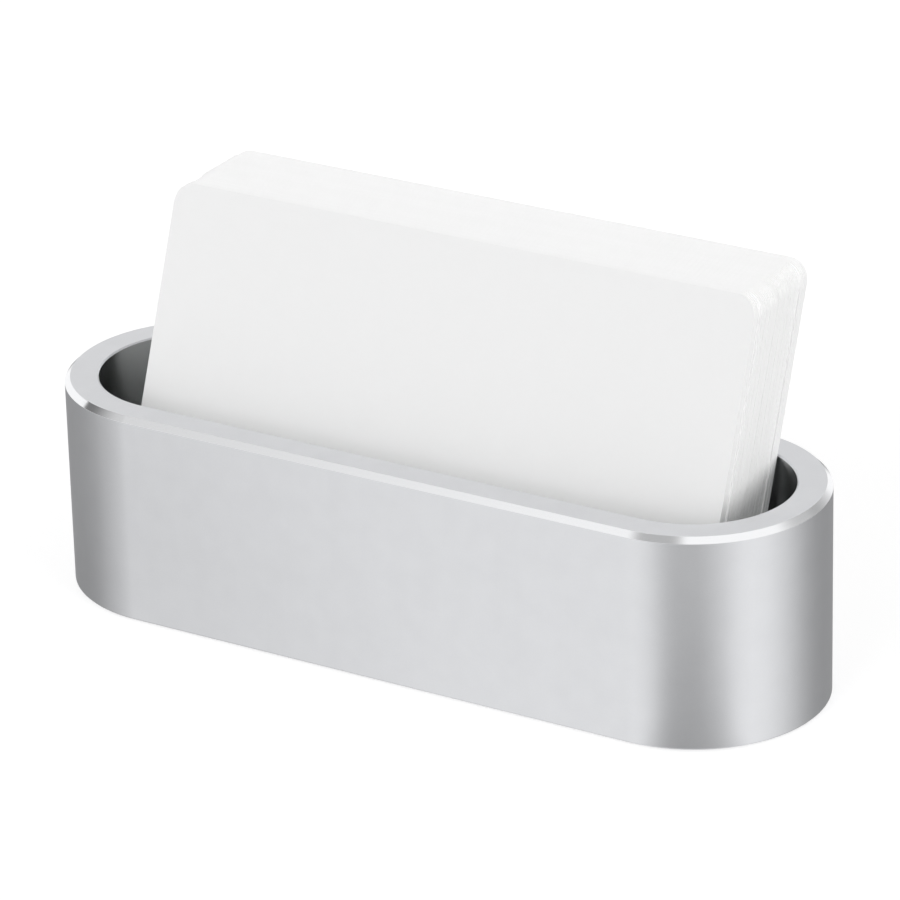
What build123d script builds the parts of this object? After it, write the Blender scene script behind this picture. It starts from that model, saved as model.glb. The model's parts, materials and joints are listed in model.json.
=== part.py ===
from build123d import *

import math
import os

# Desk holder for business cards: an obround aluminium sleeve, closed below by a base plate on a non-slip pad, with
# a stack of plain cards that stand on the plate and lean back on the rear rim.
# Millimetres. The origin is the middle of the underside of the foot pad, +X runs along the holder, +Y points to its
# rear and +Z points up.

# The cards
CARD_WIDTH = 90.0
CARD_HEIGHT = 54.0
CARD_THICKNESS = 0.32
CARD_CORNER = 3.0
CARD_GAP = 0.02

# The handfuls that the stack was put in by, from the front: their cards, and how far each lies out of line in X
PACK_CARDS = (4, 12, 19, 5)
PACK_SHIFT = 0.2
PACK_SHIFT_SHARES = (-1.4, 0.0, -1.9, -0.85)
CARD_STRAY = 0.02

# The pocket that the cards stand in, with room at each end for a finger
POCKET_WIDTH = 27.2
POCKET_DEPTH = 26.1
END_ROOM = 7.3

# The sleeve
WALL = 4.7
RIM_BEVEL = 0.76
POCKET_EDGE_BREAK = 0.2
FOOT_BEVEL = 0.28

# The base plate, in a rebate that leaves a lip of the sleeve's wall round it
PLATE_THICKNESS = 3.2
PLATE_LIP = 2.0
PLATE_FIT = 0.05

# The foot pad, stuck under the plate and standing a little below the sleeve
PAD_THICKNESS = 1.2
PAD_PROUD = 0.2
PAD_MARGIN = 0.6

# Room between the stack and the sleeve, between a card and the plate, and past the ends of a cut
STACK_ROOM = 0.06
SEAT_GAP = 0.03
OVERRUN = 1.0

# How finely a card's corner is followed, and how often the lean is worked out again
CORNER_STEPS = 24
LEAN_ROUNDS = 12

# Sizes that follow from those
POCKET_LENGTH = CARD_WIDTH + 2 * END_ROOM
POCKET_RADIUS = POCKET_WIDTH / 2
SLEEVE_LENGTH = POCKET_LENGTH + 2 * WALL
SLEEVE_WIDTH = POCKET_WIDTH + 2 * WALL
REBATE_LENGTH = SLEEVE_LENGTH - 2 * PLATE_LIP
REBATE_WIDTH = SLEEVE_WIDTH - 2 * PLATE_LIP
CARD_PITCH = CARD_THICKNESS + CARD_GAP
STACK_THICKNESS = sum(PACK_CARDS) * CARD_PITCH - CARD_GAP

# Heights above the surface that the holder stands on
SLEEVE_FOOT = PAD_PROUD
PLATE_UNDERSIDE = PAD_THICKNESS
FLOOR = PLATE_UNDERSIDE + PLATE_THICKNESS
RIM = FLOOR + POCKET_DEPTH
REAR_REST = RIM - POCKET_EDGE_BREAK


def card_shifts():
    """How far each card lies out of line in X, from the front: its handful's shift and a small stray of its own."""
    golden_angle = math.pi * (3 - math.sqrt(5))
    shifts = []
    for count, share in zip(PACK_CARDS, PACK_SHIFT_SHARES):
        for _ in range(count):
            stray = CARD_STRAY * math.sin(len(shifts) * golden_angle)
            shifts.append(share * PACK_SHIFT + stray)
    return shifts


def pocket_half_width(end_distance):
    """Half the pocket's width at a distance from its end, on the end's half circle."""
    return math.sqrt(end_distance * (2 * POCKET_RADIUS - end_distance))


def front_reach(lean, side_room):
    """How far forward of the middle a card's foot can stand before its round corners meet the front wall."""
    reaches = []
    for step in range(CORNER_STEPS + 1):
        height = CARD_CORNER * step / CORNER_STEPS
        inset = CARD_CORNER - math.sqrt(CARD_CORNER**2 - (CARD_CORNER - height) ** 2)
        reaches.append(pocket_half_width(side_room + inset) + height * math.sin(lean))
    return min(reaches) - STACK_ROOM


def stack_lean(front_room, rear_room):
    """The stack's lean and its foot's reach: its front foot meets the front wall and its back the rear rim.

    The rooms are what the front and the rear card leave beside them, on the side where that is less.

    With a and b the reaches to the front and the rear, d the height of the rear rest over the floor and t the
    stack's thickness, the lean solves (a + b) cos(lean) - d sin(lean) = t. The front reach depends a little on
    the lean, so a few rounds settle both."""
    rear_reach = pocket_half_width(rear_room) - STACK_ROOM
    rest_height = REAR_REST - FLOOR
    lean = 0
    for _ in range(LEAN_ROUNDS):
        reach = front_reach(lean, front_room)
        across = reach + rear_reach
        lean = math.acos(STACK_THICKNESS / math.hypot(across, rest_height)) - math.atan2(rest_height, across)
    return lean, reach


def obround(length, width, bottom, top):
    """An upright prism of obround plan between two heights."""
    return extrude(Plane.XY.offset(bottom) * SlotOverall(length, width), top - bottom)


def make_sleeve():
    """The wall: an obround tube with bevelled edges, and a rebate for the base plate in its foot."""
    sleeve = obround(SLEEVE_LENGTH, SLEEVE_WIDTH, SLEEVE_FOOT, RIM)
    sleeve -= obround(POCKET_LENGTH, POCKET_WIDTH, SLEEVE_FOOT - OVERRUN, RIM + OVERRUN)
    sleeve -= obround(REBATE_LENGTH, REBATE_WIDTH, SLEEVE_FOOT - OVERRUN, FLOOR)
    sleeve = chamfer(sleeve.faces().sort_by(Axis.Z)[-1].outer_wire().edges(), RIM_BEVEL)
    sleeve = chamfer(sleeve.faces().sort_by(Axis.Z)[-1].inner_wires().edges(), POCKET_EDGE_BREAK)
    return chamfer(sleeve.faces().sort_by(Axis.Z)[0].outer_wire().edges(), FOOT_BEVEL)


def make_base_plate():
    """The floor of the pocket, a close fit in the sleeve's rebate."""
    length = REBATE_LENGTH - 2 * PLATE_FIT
    width = REBATE_WIDTH - 2 * PLATE_FIT
    return obround(length, width, PLATE_UNDERSIDE, FLOOR)


def make_foot_pad():
    """The non-slip pad under the base plate."""
    length = REBATE_LENGTH - 2 * PAD_MARGIN
    width = REBATE_WIDTH - 2 * PAD_MARGIN
    return obround(length, width, 0, PAD_THICKNESS)


def make_card(place, shift, lean, reach):
    """One card, counted from the front, standing on the plate on the rear edge of its foot."""
    foot_y = place * CARD_PITCH / math.cos(lean) - reach
    foot_z = FLOOR + SEAT_GAP + CARD_THICKNESS * math.sin(lean)
    facing = (0, -math.cos(lean), math.sin(lean))
    face = Plane(origin=(shift, foot_y, foot_z), x_dir=(1, 0, 0), z_dir=facing)
    outline = Pos(0, CARD_HEIGHT / 2) * RectangleRounded(CARD_WIDTH, CARD_HEIGHT, CARD_CORNER)
    return extrude(face * outline, -CARD_THICKNESS)


def main():
    pieces = {"body_sleeve": make_sleeve(), "base_plate": make_base_plate(), "foot_pad": make_foot_pad()}
    shifts = card_shifts()
    lean, reach = stack_lean(END_ROOM - abs(shifts[0]), END_ROOM - abs(shifts[-1]))
    for place, shift in enumerate(shifts):
        pieces[f"card_{place + 1:02d}"] = make_card(place, shift, lean, reach)

    os.makedirs("parts", exist_ok=True)
    for name, piece in pieces.items():
        export_step(piece, f"parts/{name}.step")
    print("lean in degrees", round(math.degrees(lean), 4), "front reach", round(reach, 4))
    print("floor", FLOOR, "rim", RIM, "sleeve", SLEEVE_LENGTH, "by", SLEEVE_WIDTH, "stack", STACK_THICKNESS)


main()
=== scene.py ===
import json
import math

import bpy
import numpy as np
from mathutils import Matrix, Vector


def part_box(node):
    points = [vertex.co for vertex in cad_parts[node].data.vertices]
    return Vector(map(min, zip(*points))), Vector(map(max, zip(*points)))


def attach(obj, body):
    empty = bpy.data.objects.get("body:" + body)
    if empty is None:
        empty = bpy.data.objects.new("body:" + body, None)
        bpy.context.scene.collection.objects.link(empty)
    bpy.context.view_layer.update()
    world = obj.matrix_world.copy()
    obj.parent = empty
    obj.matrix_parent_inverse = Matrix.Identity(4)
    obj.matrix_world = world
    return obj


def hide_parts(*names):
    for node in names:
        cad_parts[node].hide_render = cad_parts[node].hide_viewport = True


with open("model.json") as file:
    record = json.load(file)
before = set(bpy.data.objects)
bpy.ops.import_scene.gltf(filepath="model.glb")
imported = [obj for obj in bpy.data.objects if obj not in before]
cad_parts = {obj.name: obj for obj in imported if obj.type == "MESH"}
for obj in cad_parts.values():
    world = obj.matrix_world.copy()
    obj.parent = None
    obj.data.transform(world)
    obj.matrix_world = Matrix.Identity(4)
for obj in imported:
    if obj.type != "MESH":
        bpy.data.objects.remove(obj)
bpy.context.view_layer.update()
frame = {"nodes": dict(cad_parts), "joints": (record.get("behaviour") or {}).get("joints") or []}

# A desk holder for business cards: an obround sleeve of satin aluminium with a bright-cut bevel round its
# rim, a base plate on a soft pad, and a stack of plain white cards that leans back on the rear rim.
# Metres, in the frame's axes. Colours are linear.

# The sleeve's section. Its length, width and heights come from the frame.
WALL = 0.0047
RIM_BEVEL = 0.00076
POCKET_EDGE_BREAK = 0.0002
FOOT_BEVEL = 0.00028
PLATE_LIP = 0.002
CRISP_EDGE = 0.00004
SOFT_EDGE = 0.00008
EDGE_STEPS = 5
END_STEPS = 96
SIDE_STEPS = 32

# The cards. Their size, lean and place come from the frame.
CARD_CORNER = 0.003
CARD_CORNER_STEPS = 12
CUT_EDGE_ROUND = 0.000015
CARD_AIR = 0.000018
CUT_EDGE_STEPS = 3
CARD_SHADE_SEED = 7
CARD_SHADE_MOST = 0.5

# Satin aluminium: the blasted metal, the bright cut on the bevel and the drawn metal in the pocket, whose
# colours are made darker than the blasted metal's to paint the shade down in the pocket. The shares are what
# clouds, grain and streaks have in the blasted tone. The smoother finishes take from its roughness and keep
# only some of its grain. A bump is its strength and its height.
SATIN_COLOURS = ((0.728, 0.735, 0.754, 1), (0.769, 0.777, 0.796, 1))
BRIGHT_CUT_COLOUR = (0.87, 0.876, 0.889, 1)
# Painted shade: the pocket's colours are darker than the blasted metal's to stand for the shade in the pocket
DRAWN_AND_SHADED_COLOURS = ((0.665, 0.68, 0.68, 1), (0.69, 0.705, 0.705, 1))
CLOUD_SHARE = 0.5
GRAIN_SHARE = 0.3
STREAK_SHARE = 0.2
SATIN_ROUGHNESS = (0.31, 0.34)
STREAK_ROUGHNESS = 0.01
BRIGHT_CUT_SMOOTHER = 0.24
DRAWN_SMOOTHER = 0.1
BRIGHT_CUT_GRAIN = 0.05
DRAWN_GRAIN = 0.15
SATIN_BUMP = (0.15, 0.000004)

# The base plate's rolled aluminium
PLATE_COLOURS = ((0.66, 0.67, 0.675, 1), (0.74, 0.75, 0.755, 1))
ROLLED_SHARE = 0.7
BLOTCH_SHARE = 0.3
PLATE_ROUGHNESS = (0.36, 0.48)
PLATE_BUMP = (0.2, 0.000006)

# The foot pad's silicone, clean and dusty
PAD_COLOURS = ((0.035, 0.036, 0.038, 1), (0.085, 0.084, 0.082, 1))
DUST_SPREAD = (0.45, 0.8)
PAD_ROUGHNESS = (0.62, 0.8)
PAD_BUMP = (0.4, 0.00003)

# The card stock: its faces, its cut edges, and the colour that the duller cards turn towards
FACE_COLOURS = ((0.877, 0.877, 0.878, 1), (0.893, 0.893, 0.894, 1))
CUT_COLOURS = ((0.873, 0.873, 0.872, 1), (0.895, 0.895, 0.894, 1))
DULL_COLOUR = (0.868, 0.868, 0.866, 1)
FIBRE_SHARE = 0.5
FORMATION_SHARE = 0.5
CARD_ROUGHNESS = (0.62, 0.78)
CARD_GLOSS = 0.2
CARD_BUMP = (0.25, 0.000012)

# The range that a noise's values mostly keep to
NOISE_SPREAD = (0.3, 0.7)

# The camera, fitted to the photo's edges
CAMERA_AZIMUTH = math.radians(31.5318)
CAMERA_ELEVATION = math.radians(24.0984)
CAMERA_ROLL = math.radians(1.44998)
CAMERA_OFFSET = (-0.0007478, 0.0241074, 0.74173)
CAMERA_LENS = 217.865
CAMERA_SENSOR = 36.0

# The studio
FLOOR_REACH = 4.0
FLOOR_COLOUR = (0.5, 0.5, 0.5, 1)
FLOOR_LIFT = 0.6
SURROUND_COLOUR = (1, 1, 1, 1)
SOFTBOX_LIGHT = 1.06
FILL_LIGHT = 0.675
LAMP_SPREAD = math.radians(34)

# The soft lamps: the way each stands from the object, as azimuth and elevation in degrees, and the share
# of a plain level that it gives a surface that faces it
LAMPS = (
    ("front_lamp", -98, 30, 0.284),
    ("right_lamp", -10, 15, 0.425),
    ("rear_lamp", 125, 12, 0.115),
)

# The grey flags that stand round the object, as the metal mirrors them: the way each faces from, its half
# width and the softness of its sides, in degrees, its lowest and highest edges with their softness, as
# degrees of elevation, and how much of the white it takes away. The last is a bright panel, which adds to
# the white.
FLAGS = (
    (122.5, 98.8, 37.9, -52, -13, 7, 0.711),
    (-81, 31.9, 32.1, -60, 15, 15, 0.464),
    (179, 16.1, 16.1, 27, 51.9, 0.8, 0.824),
    (-168.5, 27.7, 5.4, 39.9, 60, 5, 0.36),
    (-105.8, 25.2, 12.7, 54.1, 75, 3, 0.512),
    (58.2, 4.6, 27.8, 7, 53.9, 4, 0.447),
    (103.2, 43.9, 7.3, 22, 52.3, 10, 0.314),
    (-108.3, 16.9, 5.7, -57, 10, 12, -0.637),
)

# The shades on the floor, as the metal mirrors them. The fan spreads from the right end: its direction,
# half width and side softness in degrees, its reach from the wall, and the share of the light that it takes
# away at the wall. The oval lies before the front's left: its middle's x and y, its turn in degrees, its
# half length and half width, and the share that it takes away at its middle.
SHADE_FAN = (-61.5, 13.4, 13.3, 0.0748, 0.31)
SHADE_OVAL = (-0.0838, -0.06, 37.7, 0.1355, 0.04, 0.171)


def closed_grid(rows, columns):
    """Quads of a grid that joins up both ways: corners (i, j), (i+1, j), (i+1, j+1), (i, j+1), each index
    wrapped."""
    i, j = np.meshgrid(np.arange(rows), np.arange(columns), indexing="ij")
    here = i * columns
    ahead = (i + 1) % rows * columns
    j_next = (j + 1) % columns
    quads = np.stack([here + j, ahead + j, ahead + j_next, here + j_next], -1)
    return quads.reshape(-1, 4)


def rounded_profile(corners, radii, steps):
    """A closed profile, counter-clockwise, whose corners give way to tangent arcs.

    With n1 and n2 the outward normals of the sides that meet at a corner, and s the side that it turns to,
    the arc's middle is corner - s r (n1 + n2) / (1 + n1.n2), and its points are middle + s r n, with n
    turning from n1 to n2. Returns points and normals, as arrays of corner by step by 2."""
    corners = np.asarray(corners, float)
    radii = np.asarray(radii, float)[:, None]
    before = corners - np.roll(corners, 1, 0)
    after = np.roll(corners, -1, 0) - corners
    before /= np.linalg.norm(before, axis=1, keepdims=True)
    after /= np.linalg.norm(after, axis=1, keepdims=True)
    n1 = np.stack([before[:, 1], -before[:, 0]], 1)
    n2 = np.stack([after[:, 1], -after[:, 0]], 1)
    turn = np.arctan2(before[:, 0] * after[:, 1] - before[:, 1] * after[:, 0], (before * after).sum(1))
    side = np.sign(turn)[:, None]
    middle = corners - side * radii * (n1 + n2) / (1 + (n1 * n2).sum(1, keepdims=True))
    angle = np.arctan2(n1[:, 1], n1[:, 0])[:, None] + turn[:, None] * np.linspace(0, 1, steps)
    normals = np.stack([np.cos(angle), np.sin(angle)], -1)
    points = middle[:, None] + (side * radii)[:, None] * normals
    return points, normals


def obround_path(half_straight):
    """Stations round the obround, from above counter-clockwise: the middle that each turns about, on X, and
    its angle.

    Round an end the middle stays and the angle turns by pi; along a side the angle stays and the middle
    moves."""
    turn = np.linspace(-math.pi / 2, math.pi / 2, END_STEPS + 1)
    run = np.linspace(half_straight, -half_straight, SIDE_STEPS + 1)[1:-1]
    end = np.full(END_STEPS + 1, half_straight)
    side = np.full(SIDE_STEPS - 1, math.pi / 2)
    middle = np.concatenate([end, run, -end, -run])
    angle = np.concatenate([turn, side, turn + math.pi, side + math.pi])
    return middle, angle


def mesh_piece(name, points, faces, normals, attributes):
    """A piece from points, faces and point normals, with its own number attributes on the points."""
    mesh = bpy.data.meshes.new(name)
    mesh.from_pydata(points.tolist(), [], faces)
    for attribute, values in attributes.items():
        layer = mesh.attributes.new(attribute, "FLOAT", "POINT")
        layer.data.foreach_set("value", np.asarray(values, np.float32))
    mesh.polygons.foreach_set("use_smooth", np.ones(len(mesh.polygons), bool))
    mesh.normals_split_custom_set_from_vertices(normals.tolist())
    mesh.update()
    piece = bpy.data.objects.new(name, mesh)
    bpy.context.scene.collection.objects.link(piece)
    return piece


def make_sleeve():
    """The sleeve: the wall's section (r, z), with rounded edges, carried round the obround.

    A point is x = middle + r cos(angle), y = r sin(angle), z = z, and its normal turns the same way. Two
    masks go with the section: the bright cut between the bevel's two corners, and the pocket from below its
    edge break to the rebate."""
    low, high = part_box("body_sleeve")
    outer = (high.y - low.y) / 2
    half_straight = (high.x - low.x) / 2 - outer
    inner = outer - WALL
    rebate = outer - PLATE_LIP
    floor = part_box("base_plate")[1].z
    corners = [
        (outer - FOOT_BEVEL, low.z),
        (outer, low.z + FOOT_BEVEL),
        (outer, high.z - RIM_BEVEL),
        (outer - RIM_BEVEL, high.z),
        (inner + POCKET_EDGE_BREAK, high.z),
        (inner, high.z - POCKET_EDGE_BREAK),
        (inner, floor),
        (rebate, floor),
        (rebate, low.z),
    ]
    bevel_foot, bevel_top, pocket_top, last_inside = 2, 3, 5, 7
    radii = np.full(len(corners), SOFT_EDGE)
    radii[[bevel_foot, bevel_top]] = CRISP_EDGE
    points, normals = rounded_profile(corners, radii, EDGE_STEPS)
    along = np.linspace(0, 1, EDGE_STEPS)
    bright_cut = np.zeros(points.shape[:2])
    bright_cut[bevel_foot] = along
    bright_cut[bevel_top] = along[::-1]
    pocket = np.zeros(points.shape[:2])
    pocket[pocket_top] = along
    pocket[pocket_top + 1 : last_inside + 1] = 1
    middle, angle = obround_path(half_straight)
    r, z = points.reshape(-1, 2).T
    nr, nz = normals.reshape(-1, 2).T
    cos, sin = np.cos(angle)[:, None], np.sin(angle)[:, None]
    grid = np.stack([middle[:, None] + r * cos, r * sin, z + 0 * cos], -1).reshape(-1, 3)
    grid_normals = np.stack([nr * cos, nr * sin, nz + 0 * cos], -1).reshape(-1, 3)
    masks = {
        "bright_cut": np.tile(bright_cut.ravel(), len(angle)),
        "pocket": np.tile(pocket.ravel(), len(angle)),
    }
    faces = closed_grid(len(angle), len(r)).tolist()
    return mesh_piece("sleeve", grid, faces, grid_normals, masks)


def card_outline(width, height):
    """A rectangle with round corners, counter-clockwise: points and outward normals as seen from the card's
    front."""
    half = width / 2
    corners = [(-half, 0), (half, 0), (half, height), (-half, height)]
    points, normals = rounded_profile(corners, [CARD_CORNER] * len(corners), CARD_CORNER_STEPS + 1)
    return points.reshape(-1, 2), normals.reshape(-1, 2)


def make_card(name, up, shade):
    """One card: its outline, drawn in along the normals by the cut edge's rounding, carried from front to
    back.

    With u the outline, n its normal, e the rounding and t its angle from the front face, a point of the edge
    is u - e (1 - sin t) n at the depth e (1 - cos t) from the front, the same from the back, and each face
    is one flat polygon. The size is solved from the node's box, which leans with the card."""
    low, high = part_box(name)
    lean_sin, lean_cos = up.y, up.z
    deep, tall = high.y - low.y, high.z - low.z
    height = (deep * lean_sin - tall * lean_cos) / (lean_sin**2 - lean_cos**2)
    thickness = (deep - height * lean_sin) / lean_cos + CARD_AIR
    outline, outward = card_outline(high.x - low.x, height)
    t = np.linspace(0, math.pi / 2, CUT_EDGE_STEPS)
    inset = CUT_EDGE_ROUND * np.concatenate([1 - np.sin(t), 1 - np.sin(t[::-1])])
    front_depth = CUT_EDGE_ROUND * (1 - np.cos(t))
    depth = np.concatenate([front_depth, thickness - front_depth[::-1]])
    facing = np.concatenate([np.cos(t), -np.cos(t[::-1])])
    outness = np.concatenate([np.sin(t), np.sin(t[::-1])])
    flat = outline[None] - inset[:, None, None] * outward[None]
    origin = np.array([(low.x + high.x) / 2, low.y, high.z - height * lean_cos])
    x_way = np.array([1.0, 0.0, 0.0])
    up_way = np.array(up)
    front_way = np.array([0.0, -lean_cos, lean_sin])
    rings = origin + flat[..., :1] * x_way + flat[..., 1:] * up_way - depth[:, None, None] * front_way
    ways = outward[None, :, :1] * x_way + outward[None, :, 1:] * up_way
    normals = outness[:, None, None] * ways + facing[:, None, None] * front_way
    count = len(outline)
    edge_faces = closed_grid(len(depth), count).reshape(len(depth), count, 4)[:-1].reshape(-1, 4)
    front_face = list(range(count))
    back_face = list(range(len(depth) * count - 1, (len(depth) - 1) * count - 1, -1))
    faces = edge_faces.tolist() + [front_face, back_face]
    cut_edge = np.repeat(outness, count)
    attributes = {"cut_edge": cut_edge, "card_shade": np.full(len(cut_edge), shade)}
    return mesh_piece(name + "_board", rings.reshape(-1, 3), faces, normals.reshape(-1, 3), attributes)


def new_material(name):
    """A node material, with its tree and its surface shader."""
    material = bpy.data.materials.new(name)
    material.use_nodes = True
    tree = material.node_tree
    return material, tree, tree.nodes["Principled BSDF"]


def node(tree, kind, links=(), values=(), **settings):
    """Adds a node, sets its settings and its inputs' values, and links sockets to its inputs."""
    made = tree.nodes.new("ShaderNode" + kind)
    for name, value in settings.items():
        setattr(made, name, value)
    for key, value in dict(values).items():
        made.inputs[key].default_value = value
    for key, socket in dict(links).items():
        tree.links.new(socket, made.inputs[key])
    return made


def math_node(tree, operation, a, b):
    """A Math node's result; a and b are sockets or numbers."""
    made = node(tree, "Math", operation=operation)
    for socket, value in zip(made.inputs, (a, b)):
        if isinstance(value, bpy.types.NodeSocket):
            tree.links.new(value, socket)
        else:
            socket.default_value = value
    return made.outputs[0]


def ramp(tree, value, from_low, from_high, to_low, to_high, smooth=False):
    """A Map Range node's result, which keeps to its ends."""
    made = node(
        tree,
        "MapRange",
        {"Value": value},
        {"From Min": from_low, "From Max": from_high, "To Min": to_low, "To Max": to_high},
        interpolation_type="SMOOTHSTEP" if smooth else "LINEAR",
    )
    return made.outputs["Result"]


def noise(tree, coordinates, scale, stretch=(1, 1, 1), detail=3.0, roughness=0.5):
    """A Noise node's value on coordinates that are stretched first."""
    mapping = node(tree, "Mapping", {"Vector": coordinates}, {"Scale": stretch})
    made = node(
        tree,
        "TexNoise",
        {"Vector": mapping.outputs["Vector"]},
        {"Scale": scale, "Detail": detail, "Roughness": roughness},
    )
    return made.outputs["Fac"]


def spread(tree, value, low, high):
    """A noise's value, drawn out from its usual range to a given one."""
    return ramp(tree, value, *NOISE_SPREAD, low, high)


def mix_colour(tree, factor, a, b):
    """A Mix node's colour; a and b are sockets or colours."""
    made = node(tree, "Mix", {"Factor": factor}, data_type="RGBA")
    colour_inputs = [socket for socket in made.inputs if socket.type == "RGBA"]
    for socket, value in zip(colour_inputs, (a, b)):
        if isinstance(value, bpy.types.NodeSocket):
            tree.links.new(value, socket)
        else:
            socket.default_value = value
    return next(socket for socket in made.outputs if socket.type == "RGBA")


def object_coordinates(tree):
    """The place on the piece, in metres in the frame's axes."""
    return tree.nodes.new("ShaderNodeTexCoord").outputs["Object"]


def own_number(tree, name):
    """A number attribute of the piece's own."""
    return node(tree, "Attribute", attribute_name=name).outputs["Fac"]


def bump(tree, shader, height, strength, distance):
    """Gives a shader a bumpy normal from a height."""
    made = node(tree, "Bump", {"Height": height}, {"Strength": strength, "Distance": distance})
    tree.links.new(made.outputs["Normal"], shader.inputs["Normal"])


def satin_aluminium():
    """Blasted and anodised aluminium: fine grain, faint clouds and upright streaks of the die, a bright-cut
    bevel, and a pocket that the blasting didn't reach, where only the drawn streaks show, in a darker colour
    that paints the shade down in the pocket."""
    material, tree, shader = new_material("satin_aluminium")
    place = object_coordinates(tree)
    bright = own_number(tree, "bright_cut")
    pocket = own_number(tree, "pocket")
    streaks = noise(tree, place, scale=420.0, stretch=(1, 1, 0.02), detail=4.0)
    clouds = noise(tree, place, scale=280.0)
    grain = noise(tree, place, scale=4200.0, detail=2.0)
    cloudy = spread(tree, clouds, 0, CLOUD_SHARE)
    mottle = math_node(tree, "ADD", cloudy, spread(tree, grain, 0, GRAIN_SHARE))
    tone = math_node(tree, "ADD", mottle, spread(tree, streaks, 0, STREAK_SHARE))
    satin = mix_colour(tree, tone, *SATIN_COLOURS)
    cut = mix_colour(tree, bright, satin, BRIGHT_CUT_COLOUR)
    # Painted shade: the pocket's streaked colour is darker than the blasted metal's to stand for the shade in
    # the pocket
    drawn_and_shaded = mix_colour(tree, spread(tree, streaks, 0, 1), *DRAWN_AND_SHADED_COLOURS)
    colour = mix_colour(tree, pocket, cut, drawn_and_shaded)
    tree.links.new(colour, shader.inputs["Base Color"])
    shader.inputs["Metallic"].default_value = 1.0
    streaky = spread(tree, streaks, 0, STREAK_ROUGHNESS)
    satin_rough = math_node(tree, "ADD", spread(tree, grain, *SATIN_ROUGHNESS), streaky)
    cut_smoother = math_node(tree, "MULTIPLY", bright, BRIGHT_CUT_SMOOTHER)
    drawn_smoother = math_node(tree, "MULTIPLY", pocket, DRAWN_SMOOTHER)
    smoother = math_node(tree, "ADD", cut_smoother, drawn_smoother)
    rough = math_node(tree, "SUBTRACT", satin_rough, smoother)
    tree.links.new(rough, shader.inputs["Roughness"])
    grain_on_cut = ramp(tree, bright, 0, 1, 1, BRIGHT_CUT_GRAIN)
    grain_in_pocket = ramp(tree, pocket, 0, 1, 1, DRAWN_GRAIN)
    blasted = math_node(tree, "MULTIPLY", grain_on_cut, grain_in_pocket)
    height = math_node(tree, "MULTIPLY", grain, blasted)
    bump(tree, shader, height, *SATIN_BUMP)
    return material


def plate_aluminium():
    """Rolled aluminium plate: long streaks along the rolling direction, and faint blotches."""
    material, tree, shader = new_material("plate_aluminium")
    place = object_coordinates(tree)
    rolled = noise(tree, place, scale=900.0, stretch=(0.03, 1, 1), detail=4.0)
    blotches = noise(tree, place, scale=70.0)
    streaky = spread(tree, rolled, 0, ROLLED_SHARE)
    tone = math_node(tree, "ADD", streaky, spread(tree, blotches, 0, BLOTCH_SHARE))
    colour = mix_colour(tree, tone, *PLATE_COLOURS)
    tree.links.new(colour, shader.inputs["Base Color"])
    shader.inputs["Metallic"].default_value = 1.0
    tree.links.new(spread(tree, rolled, *PLATE_ROUGHNESS), shader.inputs["Roughness"])
    bump(tree, shader, rolled, *PLATE_BUMP)
    return material


def silicone_pad():
    """Matt dark silicone with a fine pebbled skin and a little dust."""
    material, tree, shader = new_material("silicone_pad")
    place = object_coordinates(tree)
    pebbles = node(tree, "TexVoronoi", {"Vector": place}, {"Scale": 1800.0}, feature="SMOOTH_F1")
    dust = noise(tree, place, scale=160.0, detail=5.0)
    colour = mix_colour(tree, ramp(tree, dust, *DUST_SPREAD, 0, 1), *PAD_COLOURS)
    tree.links.new(colour, shader.inputs["Base Color"])
    tree.links.new(spread(tree, dust, *PAD_ROUGHNESS), shader.inputs["Roughness"])
    bump(tree, shader, pebbles.outputs["Distance"], *PAD_BUMP)
    return material


def card_stock():
    """Uncoated white card: fine fibres in the faces, a cloudy formation, a ridged guillotine cut, and a shade
    of its own for each card."""
    material, tree, shader = new_material("card_stock")
    place = object_coordinates(tree)
    edge = own_number(tree, "cut_edge")
    shade = own_number(tree, "card_shade")
    fibres = noise(tree, place, scale=2600.0, stretch=(0.35, 1, 1), detail=5.0, roughness=0.6)
    formation = noise(tree, place, scale=320.0)
    cut_ridges = noise(tree, place, scale=3000.0, stretch=(1, 1, 0.1))
    cloudy = spread(tree, formation, 0, FORMATION_SHARE)
    tone = math_node(tree, "ADD", spread(tree, fibres, 0, FIBRE_SHARE), cloudy)
    face = mix_colour(tree, tone, *FACE_COLOURS)
    cut = mix_colour(tree, cut_ridges, *CUT_COLOURS)
    sheet = mix_colour(tree, edge, face, cut)
    paper = mix_colour(tree, shade, sheet, DULL_COLOUR)
    tree.links.new(paper, shader.inputs["Base Color"])
    tree.links.new(ramp(tree, tone, 0, 1, *CARD_ROUGHNESS), shader.inputs["Roughness"])
    shader.inputs["Specular IOR Level"].default_value = CARD_GLOSS
    height = math_node(tree, "ADD", fibres, math_node(tree, "MULTIPLY", cut_ridges, edge))
    bump(tree, shader, height, *CARD_BUMP)
    return material


def turn_mask(tree, flat_way, azimuth, half_width, softness):
    """How far a level direction is within a width, 0 to 1: a smooth step in the cosine of its turn from the
    azimuth."""
    middle = (math.cos(math.radians(azimuth)), math.sin(math.radians(azimuth)), 0)
    turned = node(tree, "VectorMath", {0: flat_way}, {1: middle}, operation="DOT_PRODUCT")
    outside = math.cos(math.radians(half_width + softness))
    inside = math.cos(math.radians(max(half_width - softness, 0)))
    return ramp(tree, turned.outputs["Value"], outside, inside, 0, 1, True)


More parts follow.
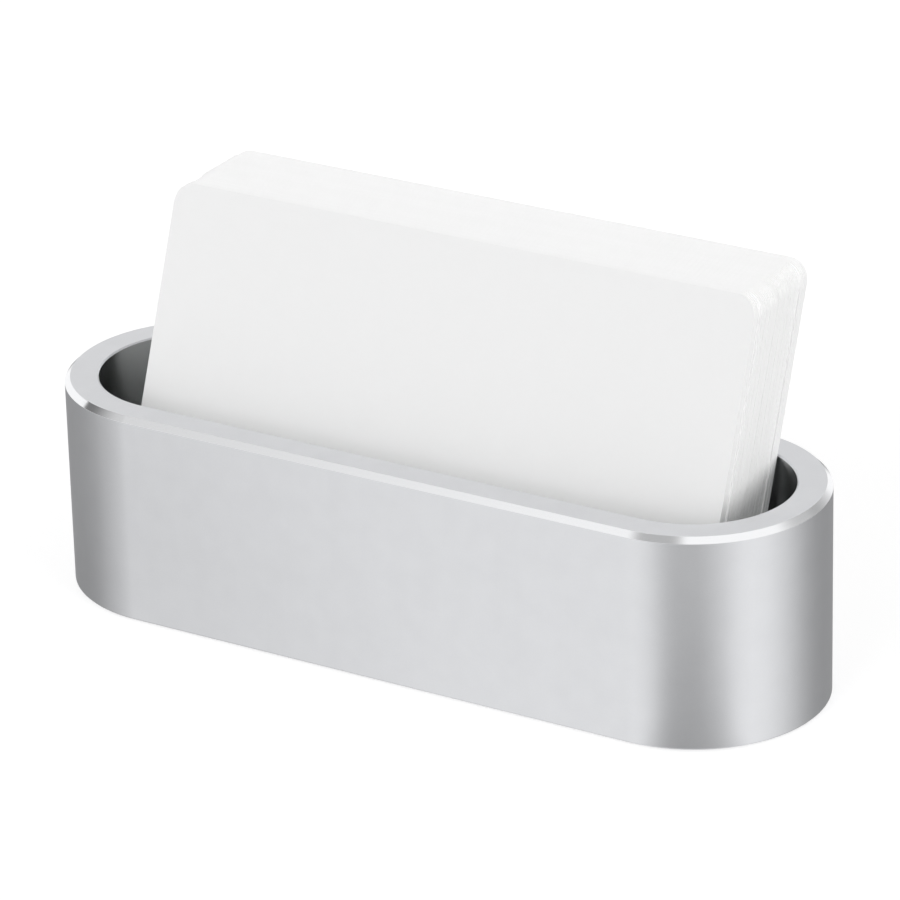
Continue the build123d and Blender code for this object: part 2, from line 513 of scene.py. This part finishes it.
def past_fan(tree, place, azimuth, half_width, softness, reach, share):
    """How much light passes the fan: 1 less its share at the wall, and 1 from its reach outwards, in step
    with the distance from the middle of the right end."""
    low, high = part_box("body_sleeve")
    outer = (high.y - low.y) / 2
    end_middle = (high.x - outer, 0, 0)
    spoke = node(tree, "VectorMath", {0: place}, {1: end_middle}, operation="SUBTRACT").outputs["Vector"]
    way = node(tree, "VectorMath", {0: spoke}, operation="NORMALIZE").outputs["Vector"]
    distance = node(tree, "VectorMath", {0: spoke}, operation="LENGTH").outputs["Value"]
    taken = ramp(tree, distance, outer, outer + reach, share, 0)
    inside = turn_mask(tree, way, azimuth, half_width, softness)
    return math_node(tree, "SUBTRACT", 1.0, math_node(tree, "MULTIPLY", taken, inside))


def past_oval(tree, place, x, y, turn, half_length, half_width, share):
    """How much light passes the oval: 1 less its share at the middle, and 1 from its edge outwards, in step
    with the distance."""
    oval = {
        "Location": (x, y, 0),
        "Rotation": (0, 0, math.radians(turn)),
        "Scale": (half_length, half_width, 1),
    }
    on_oval = node(tree, "Mapping", {"Vector": place}, oval, vector_type="TEXTURE")
    nearness = node(tree, "TexGradient", {"Vector": on_oval.outputs["Vector"]}, gradient_type="SPHERICAL")
    return ramp(tree, nearness.outputs["Fac"], 0, 1, 1, 1 - share)


def studio_floor():
    """A pale floor that the camera sees as white, apart from the object's shadow.

    The metal looks through it to the flags, past the shades."""
    material, tree, shader = new_material("studio_floor")
    tree.nodes.remove(shader)
    path = tree.nodes.new("ShaderNodeLightPath").outputs
    paint = node(tree, "BsdfDiffuse", values={"Color": FLOOR_COLOUR})
    lifted = math_node(tree, "MULTIPLY", path["Is Camera Ray"], FLOOR_LIFT)
    lift = node(tree, "Emission", {"Strength": lifted})
    both = node(tree, "AddShader", {0: paint.outputs[0], 1: lift.outputs[0]})
    place = object_coordinates(tree)
    fan = past_fan(tree, place, *SHADE_FAN)
    oval = past_oval(tree, place, *SHADE_OVAL)
    through = node(tree, "BsdfTransparent", {"Color": math_node(tree, "MULTIPLY", fan, oval)})
    mirrored = path["Is Glossy Ray"]
    shown = node(tree, "MixShader", {0: mirrored, 1: both.outputs[0], 2: through.outputs[0]})
    tree.links.new(shown.outputs[0], tree.nodes["Material Output"].inputs["Surface"])
    return material


def flag_mask(tree, flat_way, height, azimuth, half_width, softness, lowest, highest, edge):
    """How far a direction is on a flag, 0 to 1: smooth steps in its turn from the flag's middle and in its
    height, which is the sine of its elevation."""
    mask = turn_mask(tree, flat_way, azimuth, half_width, softness)
    for limit, below, above in ((highest, 1, 0), (lowest, 0, 1)):
        ends = [math.sin(math.radians(limit + step)) for step in (-edge, edge)]
        mask = math_node(tree, "MULTIPLY", mask, ramp(tree, height, *ends, below, above, True))
    return mask


def light_studio():
    """A white surround for what the camera and the metal see, with soft grey flags in the metal, and an even
    fill for the rest."""
    world = bpy.data.worlds.new("studio")
    bpy.context.scene.world = world
    world.use_nodes = True
    tree = world.node_tree
    way = tree.nodes.new("ShaderNodeTexCoord").outputs["Generated"]
    height = node(tree, "SeparateXYZ", {0: way}).outputs["Z"]
    level = node(tree, "VectorMath", {0: way}, {1: (1, 1, 0)}, operation="MULTIPLY").outputs["Vector"]
    flat_way = node(tree, "VectorMath", {0: level}, operation="NORMALIZE").outputs["Vector"]
    white = SOFTBOX_LIGHT
    for *flag, share in FLAGS:
        mask = flag_mask(tree, flat_way, height, *flag)
        left = math_node(tree, "SUBTRACT", 1.0, math_node(tree, "MULTIPLY", mask, share))
        white = math_node(tree, "MULTIPLY", left, white)
    path = tree.nodes.new("ShaderNodeLightPath").outputs
    mirrored = math_node(tree, "MAXIMUM", path["Is Glossy Ray"], path["Is Transmission Ray"])
    over_fill = math_node(tree, "MULTIPLY", mirrored, math_node(tree, "SUBTRACT", white, FILL_LIGHT))
    lit = math_node(tree, "ADD", over_fill, FILL_LIGHT)
    shown = math_node(tree, "MAXIMUM", lit, path["Is Camera Ray"])
    background = tree.nodes["Background"]
    background.inputs["Color"].default_value = SURROUND_COLOUR
    tree.links.new(shown, background.inputs["Strength"])


def make_lamp(name, azimuth, elevation, share):
    """A far, soft lamp that isn't mirrored in the metal.

    Its energy is its share of a plain level times pi."""
    data = bpy.data.lights.new(name, "SUN")
    data.angle = LAMP_SPREAD
    data.energy = share * math.pi
    lamp = bpy.data.objects.new(name, data)
    bpy.context.scene.collection.objects.link(lamp)
    a, e = math.radians(azimuth), math.radians(elevation)
    back = Vector((math.cos(a) * math.cos(e), math.sin(a) * math.cos(e), math.sin(e)))
    lamp.matrix_world = Matrix.Translation(back) @ back.to_track_quat("Z", "Y").to_matrix().to_4x4()
    lamp.visible_glossy = False


def make_floor():
    """A level square under the object, as far to each side as its reach."""
    mesh = bpy.data.meshes.new("floor")
    corners = [(x * FLOOR_REACH, y * FLOOR_REACH, 0) for x, y in ((-1, -1), (1, -1), (1, 1), (-1, 1))]
    mesh.from_pydata(corners, [], [(0, 1, 2, 3)])
    mesh.materials.append(studio_floor())
    floor = bpy.data.objects.new("floor", mesh)
    bpy.context.scene.collection.objects.link(floor)


def make_camera():
    """The photo's view: turned by the azimuth, tipped down by the elevation and rolled, on a long lens."""
    a, e, roll = CAMERA_AZIMUTH, CAMERA_ELEVATION, CAMERA_ROLL
    forward = np.array([-math.sin(a) * math.cos(e), math.cos(a) * math.cos(e), -math.sin(e)])
    level_right = np.array([math.cos(a), math.sin(a), 0])
    level_down = np.cross(forward, level_right)
    right = math.cos(roll) * level_right + math.sin(roll) * level_down
    down = math.cos(roll) * level_down - math.sin(roll) * level_right
    foot = np.array([0, 0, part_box("body_sleeve")[0].z])
    place = foot - np.stack([right, down, forward]).T @ np.array(CAMERA_OFFSET)
    turned = np.eye(4)
    turned[:3, :3] = np.stack([right, -down, -forward], 1)
    turned[:3, 3] = place
    data = bpy.data.cameras.new("camera")
    data.sensor_width = CAMERA_SENSOR
    data.lens = CAMERA_LENS
    camera = bpy.data.objects.new("camera", data)
    camera.matrix_world = Matrix(turned.tolist())
    bpy.context.scene.collection.objects.link(camera)
    bpy.context.scene.camera = camera


def dress(body, piece, material, stands_for):
    """A new piece in its finish, in place of a CAD node, on a body."""
    piece.data.materials.append(material)
    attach(piece, body)
    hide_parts(stands_for)


def main():
    """Dresses the frame and sets up the camera, the light and the floor."""
    dress("holder", make_sleeve(), satin_aluminium(), "body_sleeve")
    paper = card_stock()
    shades = np.random.default_rng(CARD_SHADE_SEED).uniform(0, CARD_SHADE_MOST, len(frame["joints"]))
    for joint, shade in zip(frame["joints"], shades):
        body = joint["child"]
        up = Vector(joint["axis"]).normalized()
        dress(body, make_card(body, up, shade), paper, body)
    for name, finish in (("base_plate", plate_aluminium()), ("foot_pad", silicone_pad())):
        frame["nodes"][name].material_slots[0].material = finish
    make_camera()
    light_studio()
    for lamp in LAMPS:
        make_lamp(*lamp)
    make_floor()
    bpy.context.scene.view_settings.view_transform = "Standard"


main()
